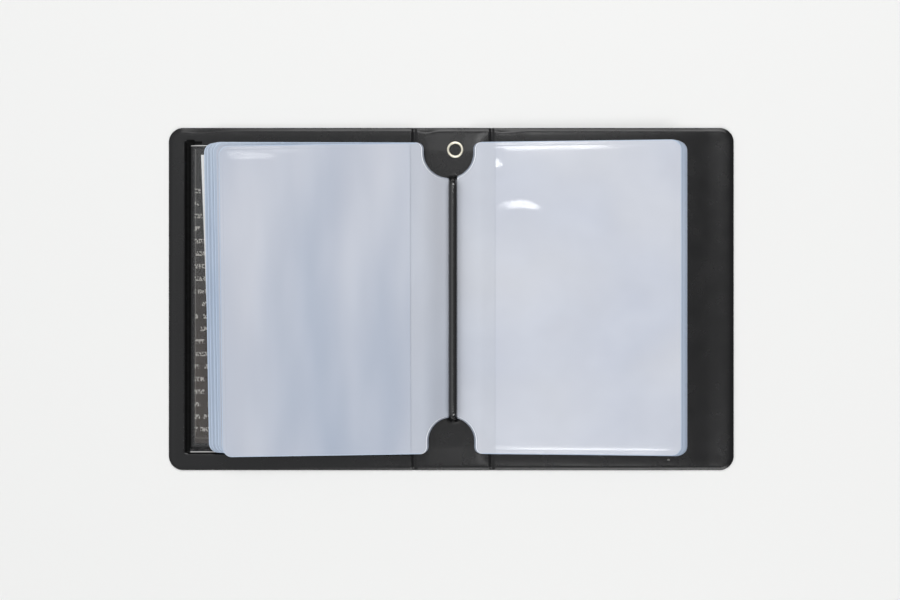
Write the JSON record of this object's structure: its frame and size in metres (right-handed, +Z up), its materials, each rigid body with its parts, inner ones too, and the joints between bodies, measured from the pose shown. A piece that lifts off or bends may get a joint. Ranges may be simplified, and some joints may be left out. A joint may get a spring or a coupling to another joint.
{
  "type": "pocket card file",
  "caption": "Flat vinyl card file lying open: a soft cover with an eyelet, and folded clear pocket pages bound in by a cord over their fold.",
  "frame": {"origin": "under the middle of the open cover, on the surface it lies on", "axes": "+X across the open covers to the right-hand cover, +Y along the spine towards the eyelet, +Z up out of the pages"},
  "size_m": [0.175, 0.106, 0.0052],
  "materials": {
    "black_vinyl": "soft satin vinyl sheet",
    "cord_vinyl": "glossy moulded cord",
    "stop_plastic": "plain moulded",
    "eyelet_brass": "pale brass plate",
    "clear_film": "clear glossy film",
    "page_film": "milky flexible film",
    "pocket_film": "milky flexible film, welded edges",
    "printed_paper": "dark printed paper",
    "white_card": "smooth white card"
  },
  "bodies": {
    "spine": {"spine_panel": "black_vinyl", "spine_lining": "black_vinyl", "eyelet": "eyelet_brass", "eyelet_washer": "eyelet_brass", "binding_cord": "cord_vinyl", "cord_stops": "stop_plastic", "sheet_fold_1": "page_film", "sheet_fold_2": "page_film", "sheet_fold_3": "page_film", "sheet_fold_4": "page_film", "sheet_fold_5": "page_film", "sheet_fold_6": "page_film"},
    "left_cover": {"left_cover_panel": "black_vinyl", "left_cover_lining": "black_vinyl", "window_film": "clear_film"},
    "right_cover": {"right_cover_panel": "black_vinyl", "right_cover_flap": "black_vinyl"},
    "leaflet": {"printed_leaflet": "printed_paper"},
    "note": {"note_card": "white_card"},
    "left_leaf_1": {"left_page_1": "page_film", "left_pocket_1": "pocket_film"},
    "right_leaf_1": {"right_page_1": "page_film", "right_pocket_1": "pocket_film"},
    "left_leaf_2": {"left_page_2": "page_film", "left_pocket_2": "pocket_film"},
    "right_leaf_2": {"right_page_2": "page_film", "right_pocket_2": "pocket_film"},
    "left_leaf_3": {"left_page_3": "page_film", "left_pocket_3": "pocket_film"},
    "right_leaf_3": {"right_page_3": "page_film", "right_pocket_3": "pocket_film"},
    "left_leaf_4": {"left_page_4": "page_film", "left_pocket_4": "pocket_film"},
    "right_leaf_4": {"right_page_4": "page_film", "right_pocket_4": "pocket_film"},
    "left_leaf_5": {"left_page_5": "page_film", "left_pocket_5": "pocket_film"},
    "right_leaf_5": {"right_page_5": "page_film", "right_pocket_5": "pocket_film"},
    "left_leaf_6": {"left_page_6": "page_film", "left_pocket_6": "pocket_film"},
    "right_leaf_6": {"right_page_6": "page_film", "right_pocket_6": "pocket_film"}
  },
  "joints": [
    {"name": "left_cover_fold", "type": "hinge", "parent": "spine", "child": "left_cover", "pos_m": [-0.006, 0, 0.00045], "axis": [0, -1, 0], "range_deg": [-90, 0]},
    {"name": "right_cover_fold", "type": "hinge", "parent": "spine", "child": "right_cover", "pos_m": [0.006, 0, 0.00045], "axis": [0, 1, 0], "range_deg": [-90, 0]},
    {"name": "left_leaf_2_fold", "type": "hinge", "parent": "spine", "child": "left_leaf_2", "pos_m": [0.0005, 0, 0.0055], "axis": [0, -1, 0], "range_deg": [-90, 0]},
    {"name": "left_leaf_3_fold", "type": "hinge", "parent": "spine", "child": "left_leaf_3", "pos_m": [0.0005, 0, 0.0055], "axis": [0, -1, 0], "range_deg": [-90, 0]},
    {"name": "left_leaf_4_fold", "type": "hinge", "parent": "spine", "child": "left_leaf_4", "pos_m": [0.0005, 0, 0.0055], "axis": [0, -1, 0], "range_deg": [-90, 0]},
    {"name": "left_leaf_5_fold", "type": "hinge", "parent": "spine", "child": "left_leaf_5", "pos_m": [0.0005, 0, 0.0055], "axis": [0, -1, 0], "range_deg": [-90, 0]},
    {"name": "left_leaf_6_fold", "type": "hinge", "parent": "spine", "child": "left_leaf_6", "pos_m": [0.0005, 0, 0.0055], "axis": [0, -1, 0], "range_deg": [-90, 0]},
    {"name": "left_leaf_1_turn", "type": "hinge", "parent": "left_leaf_2", "child": "left_leaf_1", "pos_m": [0.0005, 0, 0.0055], "axis": [0, 1, 0], "range_deg": [0, 178]},
    {"name": "right_leaf_2_fold", "type": "hinge", "parent": "spine", "child": "right_leaf_2", "pos_m": [0.0005, 0, 0.0055], "axis": [0, 1, 0], "range_deg": [-90, 0]},
    {"name": "right_leaf_3_fold", "type": "hinge", "parent": "spine", "child": "right_leaf_3", "pos_m": [0.0005, 0, 0.0055], "axis": [0, 1, 0], "range_deg": [-90, 0]},
    {"name": "right_leaf_4_fold", "type": "hinge", "parent": "spine", "child": "right_leaf_4", "pos_m": [0.0005, 0, 0.0055], "axis": [0, 1, 0], "range_deg": [-90, 0]},
    {"name": "right_leaf_5_fold", "type": "hinge", "parent": "spine", "child": "right_leaf_5", "pos_m": [0.0005, 0, 0.0055], "axis": [0, 1, 0], "range_deg": [-90, 0]},
    {"name": "right_leaf_6_fold", "type": "hinge", "parent": "spine", "child": "right_leaf_6", "pos_m": [0.0005, 0, 0.0055], "axis": [0, 1, 0], "range_deg": [-90, 0]},
    {"name": "right_leaf_1_turn", "type": "hinge", "parent": "right_leaf_2", "child": "right_leaf_1", "pos_m": [0.0005, 0, 0.0055], "axis": [0, -1, 0], "range_deg": [0, 178]},
    {"name": "leaflet_slide", "type": "slide", "parent": "left_cover", "child": "leaflet", "axis": [0, 1, 0], "range_m": [0, 0.1]},
    {"name": "note_slide", "type": "slide", "parent": "left_cover", "child": "note", "axis": [0, 1, 0], "range_m": [0, 0.095]}
  ],
  "couplings": [
    {"joint": "left_leaf_2_fold", "follows": "left_cover_fold", "ratio": 1},
    {"joint": "left_leaf_3_fold", "follows": "left_cover_fold", "ratio": 1},
    {"joint": "left_leaf_4_fold", "follows": "left_cover_fold", "ratio": 1},
    {"joint": "left_leaf_5_fold", "follows": "left_cover_fold", "ratio": 1},
    {"joint": "left_leaf_6_fold", "follows": "left_cover_fold", "ratio": 1},
    {"joint": "right_leaf_2_fold", "follows": "right_cover_fold", "ratio": 1},
    {"joint": "right_leaf_3_fold", "follows": "right_cover_fold", "ratio": 1},
    {"joint": "right_leaf_4_fold", "follows": "right_cover_fold", "ratio": 1},
    {"joint": "right_leaf_5_fold", "follows": "right_cover_fold", "ratio": 1},
    {"joint": "right_leaf_6_fold", "follows": "right_cover_fold", "ratio": 1}
  ]
}
